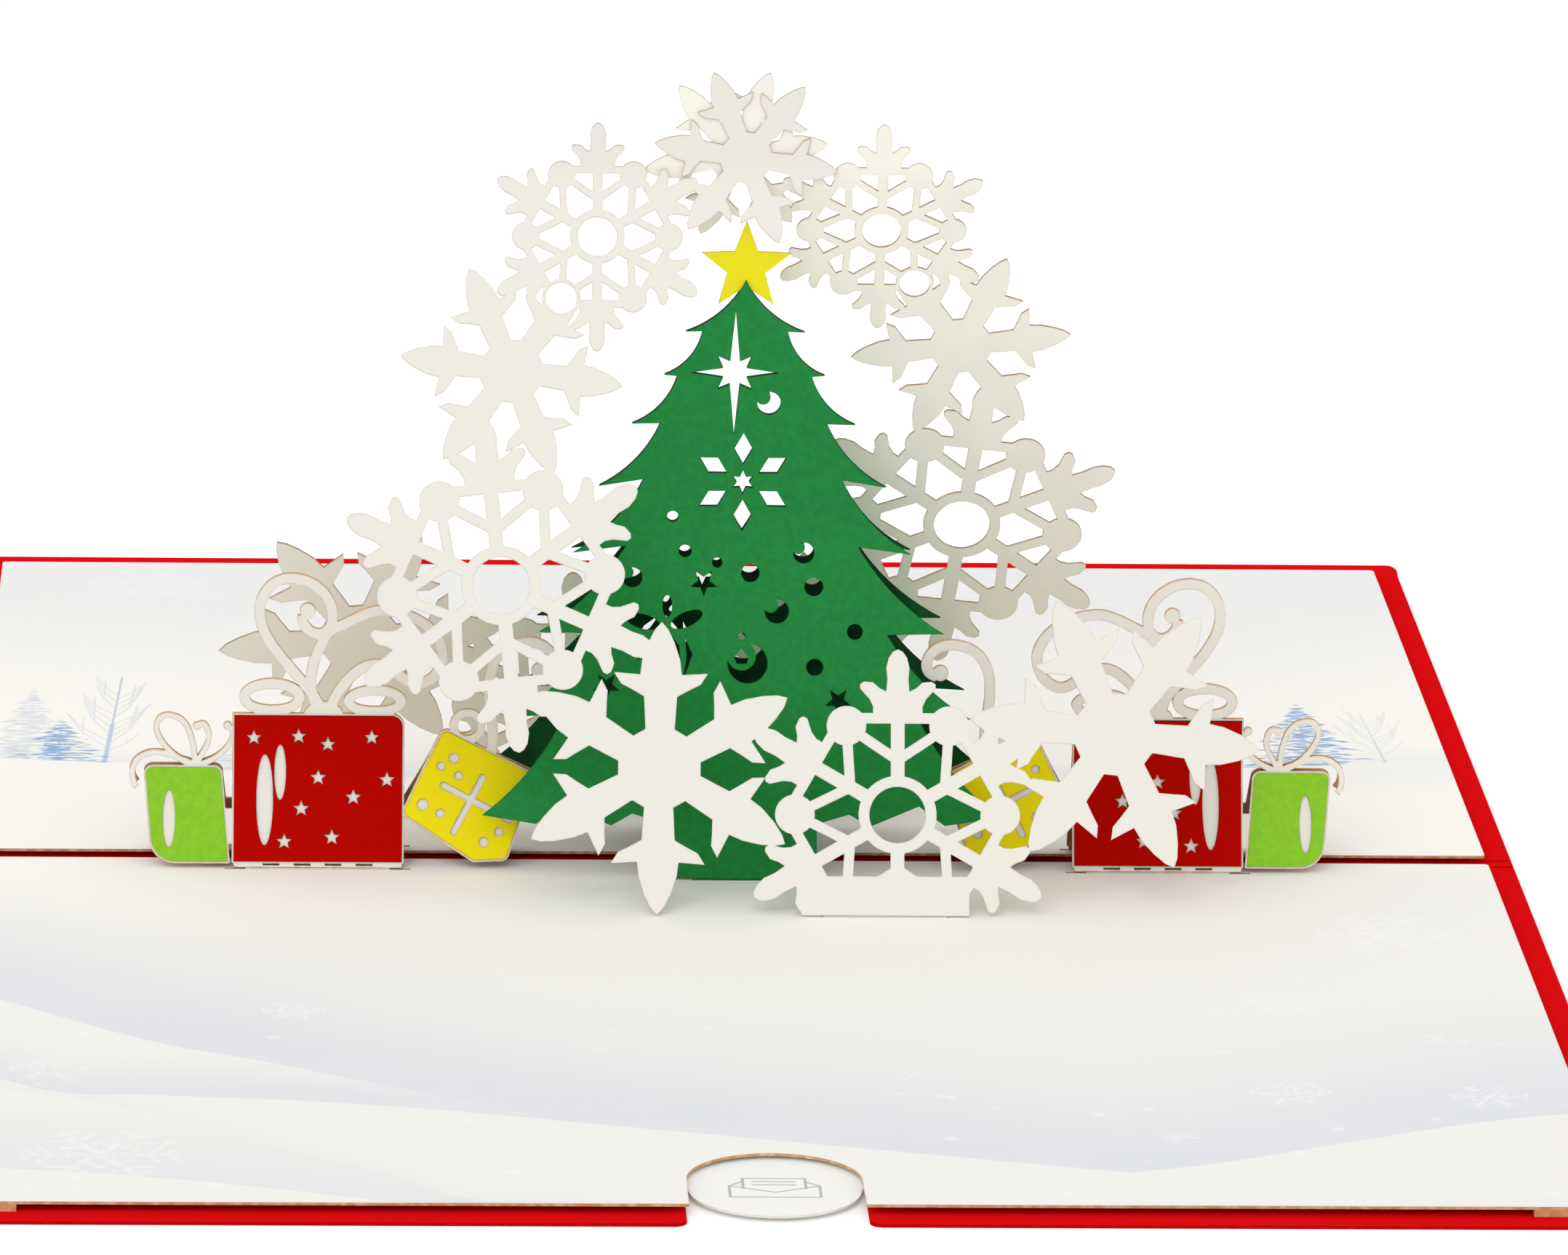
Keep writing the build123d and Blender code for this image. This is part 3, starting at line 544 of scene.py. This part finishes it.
def bare_tree(spot, foot, top, spread):
    """Mask of a bare tree: a trunk, thick low down, and fainter boughs that bend upwards on both sides and fork."""
    run = tuple(high - low for low, high in zip(foot, top))
    knee = tuple(low + step * 0.45 for low, step in zip(foot, run))
    trunk = stroke(spot, foot, top, run[1] * 0.0045).largest(stroke(spot, foot, knee, run[1] * 0.0105))
    boughs = None
    for k in range(TREE_BOUGHS):
        side = (-1) ** k
        share = 0.14 + 0.68 * k / TREE_BOUGHS
        start = tuple(low + step * share for low, step in zip(foot, run))
        reach = spread * (1.0 - 0.65 * share) * (0.75 + 0.5 * (k * LONG_STEP % 1))
        climb = reach * (0.9 + 1.0 * (k * SHORT_STEP % 1))
        bend = (start[0] + side * reach * 0.6, start[1] + climb)
        end = (start[0] + side * reach, bend[1] + climb * 1.3)
        twig = (bend[0] + side * reach * 0.02, bend[1] + climb * 0.9)
        for near, far, width in ((start, bend, 0.0009), (bend, end, 0.0007), (bend, twig, 0.0006)):
            line = stroke(spot, near, far, width)
            boughs = line if boughs is None else boughs.largest(line)
    return trunk.largest(boughs * 0.5)


# Back page, in shares of its width: the horizon as (across, height) points.
HORIZON_SHARES = [(0, 0.226), (0.1, 0.213), (0.2, 0.192), (0.5, 0.178), (0.8, 0.196), (0.9, 0.222), (1, 0.238)]

# Firs by middle, foot, top, half width and lean.
PALE_FIRS = [(0.032, 0.216, 0.415, 0.043, 0.0), (0.175, 0.192, 0.258, 0.045, 0.0)]
BLUE_FIRS = [(0.053, 0.213, 0.329, 0.042, 0.0), (0.904, 0.217, 0.392, 0.054, 0.028)]

# Bare trees by foot, top and spread of the boughs.
TALL_TREE = ((0.0845, 0.212), (0.0925, 0.437), 0.031)
SMALL_TREE = ((0.9568, 0.232), (0.951, 0.360), 0.027)

# Strength of the ink of each kind of tree, and of the small bare tree beside the tall one.
PALE_INK = 0.30
BARE_INK = 0.55
BLUE_INK = 0.85
SMALL_TREE_SHARE = 0.6


def winter_sky(place):
    """Back page: a snow field by the fold, a horizon with printed trees, and a pale sky with faint flakes."""
    colours = card_colours()
    spot = page_place(place, "back_page")
    across, up = spot.part("X"), spot.part("Y")
    height = up - skyline(across, HORIZON_SHARES)
    sky = height.rise(0.10, 0.50) * 0.28 + height.rise(0.05, 0.0) * height.rise(-0.002, 0.002) * 0.20
    field = height.rise(-0.10, -0.02) * height.rise(0.002, -0.002) * across.rise(0.7, 0.95) * 0.14
    wash = (sky + field) * (0.7 + spot.noise(7.0, 3.0) * 0.6)
    # The back page is printed on the paper that is painted lighter against the shade of the upright sheets.
    page = wash.over(colours.page_lightened, colours.page_ink)
    above = height.rise(-0.004, 0.001)
    left, right = (fir(spot, *sizes) for sizes in PALE_FIRS)
    faint = left.largest(right)
    bare = bare_tree(spot, *TALL_TREE).largest(SMALL_TREE_SHARE * bare_tree(spot, *SMALL_TREE))
    left, right = (fir(spot, *sizes) for sizes in BLUE_FIRS)
    near = left.largest(right)
    page = (faint * above * PALE_INK).over(page, colours.tree_ink)
    page = (bare * above * BARE_INK).over(page, colours.tree_ink)
    page = (near * above * BLUE_INK).over(page, colours.tree_ink)
    flakes = snowflakes(spot, BACK_FLAKE_SHARES) * spot.noise(120.0).rise(0.3, 0.6)
    snow = flakes.largest(falling_snow(spot, 26.0) * height.rise(0.3, 0.4))
    return (snow * 0.35).over(page, colours.snow)


# Lines of the envelope on the thumb tab, in shares of the tab's radius.
ENVELOPE_SHARES = [
    ((-0.52, -0.30), (0.52, -0.30)),
    ((-0.52, -0.30), (-0.52, 0.12)),
    ((0.52, -0.30), (0.52, 0.12)),
    ((-0.52, 0.12), (-0.36, 0.28)),
    ((0.52, 0.12), (0.36, 0.28)),
    ((-0.36, 0.40), (0.36, 0.40)),
    ((-0.36, 0.02), (-0.36, 0.40)),
    ((0.36, 0.02), (0.36, 0.40)),
    ((-0.52, 0.12), (0.0, -0.12)),
    ((0.52, 0.12), (0.0, -0.12)),
    ((-0.24, 0.28), (0.24, 0.28)),
    ((-0.24, 0.16), (0.24, 0.16)),
]
LINE_WIDTH = 0.024


def tab_print(place):
    """Thumb tab: the outline of an open envelope with a letter in it."""
    colours = card_colours()
    middle = Vector((0.0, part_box("message_slip")[0].y + TAB_RADIUS, 0.0))
    spot = scaled_place(place, middle, TAB_RADIUS)
    mask = None
    for start, end in ENVELOPE_SHARES:
        line = stroke(spot, start, end, LINE_WIDTH)
        mask = line if mask is None else mask.largest(line)
    return (mask * 0.8).over(colours.slip, colours.slip_ink)


class CARD_OT_finish_cover(bpy.types.Operator):
    """Give the folded cover its red card"""

    bl_idname = "pop_up_card.finish_cover"
    bl_label = "Finish the cover"

    def execute(self, context):
        colours, finish = card_colours(), card_finish()
        dark = tuple(share * 0.55 for share in colours.cover)
        material = card_stock(
            "red_cover_card", colours.cover, dark, UP, COVER_THICK, finish.cover_roughness, rim=0.15, gloss=0.0
        )
        dress("cover", material)
        curled_cover(finish).data.materials.append(material)
        return {"FINISHED"}


class CARD_OT_print_pages(bpy.types.Operator):
    """Print the snow hills and the winter sky on the two pages"""

    bl_idname = "pop_up_card.print_pages"
    bl_label = "Print the pages"

    def execute(self, context):
        colours, finish = card_colours(), card_finish()
        for node, print_on in (("front_page", snow_hills), ("back_page", winter_sky)):
            material = card_stock(
                node + "_print", colours.page, colours.page_scorch, UP, PAGE_THICK, finish.card_roughness,
                print_on=print_on,
            )
            dress(node, material)
        return {"FINISHED"}


class CARD_OT_finish_pocket(bpy.types.Operator):
    """Finish the strips under the pages and the message slip"""

    bl_idname = "pop_up_card.finish_pocket"
    bl_label = "Finish the pocket and slip"

    def execute(self, context):
        colours, finish = card_colours(), card_finish()
        strips = card_stock(
            "pocket_strip_card", colours.white_card, colours.page_scorch, UP, STRIP_THICK, finish.card_roughness
        )
        dress("pocket_strips", strips)
        dress("back_page_strips", strips)
        slip = card_stock(
            "message_slip_card", colours.slip, colours.slip_edge, UP, SHEET_THICK, finish.card_roughness, rim=0.1,
            print_on=tab_print,
        )
        dress("message_slip", slip)
        return {"FINISHED"}


class CARD_OT_finish_wreath(bpy.types.Operator):
    """Give the two snowflake sheets their white card with scorched edges"""

    bl_idname = "pop_up_card.finish_wreath"
    bl_label = "Finish the snowflakes"

    def execute(self, context):
        colours, finish = card_colours(), card_finish()
        for node, side in (("wreath_front", 1), ("wreath_back", -1)):
            # The inner faces get a lighter, creamier copy of the white card: painted light in the shade between the two
            # sheets.
            material = card_stock(
                node + "_card", colours.white_card, colours.scorch, leaning(WREATH_LEAN, side), SHEET_THICK,
                finish.card_roughness, rim=0.35, inner=colours.inner_card_lightened,
            )
            dress(node, material)
        return {"FINISHED"}


class CARD_OT_finish_tree(bpy.types.Operator):
    """Give the tree its green card and the star its yellow card"""

    bl_idname = "pop_up_card.finish_tree"
    bl_label = "Finish the tree and star"

    def execute(self, context):
        colours, finish = card_colours(), card_finish()
        # The inner faces of the tree sheets are painted dark green: painted shade between the two sheets.
        for node, side in (("tree_front", 1), ("tree_back", -1)):
            material = card_stock(
                node + "_card", colours.tree, colours.char, leaning(TREE_LEAN, side), SHEET_THICK,
                finish.card_roughness, rim=0.45, inner=colours.tree_inner_painted_shade, felt=0.3, gloss=0.05,
            )
            dress(node, material)
        star = card_stock(
            "star_card", colours.star, colours.scorch, BACK, SHEET_THICK, finish.card_roughness, rim=0.25
        )
        dress("tree_star", star)
        return {"FINISHED"}


class CARD_OT_finish_gifts(bpy.types.Operator):
    """Give the gifts their white sheets and coloured papers"""

    bl_idname = "pop_up_card.finish_gifts"
    bl_label = "Finish the gifts"

    def execute(self, context):
        colours, finish = card_colours(), card_finish()
        papers = {
            "gifts": (colours.white_card, colours.page_scorch, SHEET_THICK, 0.85, colours.smoked, 0.0),
            "red_paper": (colours.red_paper, colours.char, PAPER_THICK, 0.3, None, 0.08),
            "green_paper": (colours.lime_paper, colours.scorch, PAPER_THICK, 0.5, None, 0.22),
            "yellow_paper": (colours.yellow_paper, colours.scorch, PAPER_THICK, 0.8, None, 0.04),
        }
        for half, side in (("front", 1), ("rear", -1)):
            facing = leaning(GIFT_LEAN, side)
            for kind, (face, edge, thick, rim, inner, felt) in papers.items():
                material = card_stock(
                    f"{kind}_{half}", face, edge, facing, thick, finish.card_roughness, rim=rim, inner=inner, gloss=0.0,
                    felt=felt,
                )
                for end in ("left", "right"):
                    dress(f"{kind}_{end}_{half}", material)
        return {"FINISHED"}


class CARD_OT_set_stage(bpy.types.Operator):
    """Set the white floor, the lamps and the camera"""

    bl_idname = "pop_up_card.set_stage"
    bl_label = "Set the stage"

    def execute(self, context):
        settings = context.scene.card_stage
        self.lay_floor(settings)
        self.light(context.scene, settings)
        self.aim_camera(context.scene, settings)
        context.scene.view_settings.view_transform = "Standard"
        return {"FINISHED"}

    def lay_floor(self, settings):
        half = settings.floor_size / 2
        mesh = bpy.data.meshes.new("floor")
        corners = [(-half, -half, 0), (half, -half, 0), (half, half, 0), (-half, half, 0)]
        mesh.from_pydata(corners, [], [(0, 1, 2, 3)])
        floor = bpy.data.objects.new("floor", mesh)
        bpy.context.scene.collection.objects.link(floor)
        material = bpy.data.materials.new("white_floor")
        material.use_nodes = True
        paint = material.node_tree.nodes["Principled BSDF"]
        paint.inputs["Base Color"].default_value = (*settings.floor, 1)
        paint.inputs["Roughness"].default_value = 0.9
        paint.inputs["Specular IOR Level"].default_value = 0.0
        root = Shade(material.node_tree)
        seen = root.node("ShaderNodeLightPath", output="Is Camera Ray")
        lift = seen.over((0.0, 0.0, 0.0), (settings.floor_lift,) * 3)
        material.node_tree.links.new(lift.socket, paint.inputs["Emission Color"])
        paint.inputs["Emission Strength"].default_value = 1.0
        mesh.materials.append(material)

    def light(self, scene, settings):
        world = bpy.data.worlds.new("studio")
        world.use_nodes = True
        tree = world.node_tree
        glow = tree.nodes["Background"]
        root = Shade(tree)
        seen = root.node("ShaderNodeLightPath", output="Is Camera Ray")
        for kind in ("Is Glossy Ray", "Is Transmission Ray"):
            seen = seen.largest(root.node("ShaderNodeLightPath", output=kind))
        tree.links.new((settings.fill + seen * (1 - settings.fill)).socket, glow.inputs["Strength"])
        glow.inputs["Color"].default_value = (1, 1, 1, 1)
        scene.world = world
        lamp = bpy.data.lights.new("key", "SUN")
        lamp.energy = settings.key
        lamp.angle = math.radians(SUN_SPREAD)
        key = bpy.data.objects.new("key", lamp)
        key.rotation_euler = Vector(SUN_HEADING).to_track_quat("-Z", "Y").to_euler()
        scene.collection.objects.link(key)

    def aim_camera(self, scene, settings):
        camera = bpy.data.cameras.new("camera")
        camera.lens = settings.lens
        camera.sensor_width = SENSOR_WIDTH
        camera.clip_start = 0.05
        camera.clip_end = 50
        eye, target = Vector(settings.eye), Vector(settings.target)
        forward = (target - eye).normalized()
        right = forward.cross(Vector(UP)).normalized()
        up = right.cross(forward)
        turned_right = right * math.cos(settings.roll) + up * math.sin(settings.roll)
        turned_up = up * math.cos(settings.roll) - right * math.sin(settings.roll)
        turn = Matrix((turned_right, turned_up, -forward)).transposed().to_4x4()
        holder = bpy.data.objects.new("camera", camera)
        holder.matrix_world = Matrix.Translation(eye) @ turn
        scene.collection.objects.link(holder)
        scene.camera = holder


class CARD_PT_panel(bpy.types.Panel):
    """The card's pieces and its stage"""

    bl_idname = "CARD_PT_panel"
    bl_label = "Pop up card"
    bl_space_type = "VIEW_3D"
    bl_region_type = "UI"
    bl_category = "Card"

    def draw(self, context):
        column = self.layout.column()
        for operator in OPERATORS:
            column.operator(operator.bl_idname)
        for group in (context.scene.card_colours, context.scene.card_finish, context.scene.card_stage):
            column.separator()
            for name in group.bl_rna.properties.keys():
                if name not in ("name", "rna_type"):
                    column.prop(group, name)


OPERATORS = (
    CARD_OT_finish_cover,
    CARD_OT_print_pages,
    CARD_OT_finish_pocket,
    CARD_OT_finish_wreath,
    CARD_OT_finish_tree,
    CARD_OT_finish_gifts,
    CARD_OT_set_stage,
)
GROUPS = {"card_colours": CardColours, "card_finish": CardFinish, "card_stage": StageSettings}


def register():
    for item in (*GROUPS.values(), *OPERATORS, CARD_PT_panel):
        bpy.utils.register_class(item)
    for name, group in GROUPS.items():
        setattr(bpy.types.Scene, name, PointerProperty(type=group))


def unregister():
    for name in GROUPS:
        delattr(bpy.types.Scene, name)
    for item in reversed((*GROUPS.values(), *OPERATORS, CARD_PT_panel)):
        bpy.utils.unregister_class(item)


def main():
    """Builds every finish and the stage."""
    register()
    for operator in OPERATORS:
        group, name = operator.bl_idname.split(".")
        getattr(getattr(bpy.ops, group), name)()


if __name__ == "__main__":
    main()
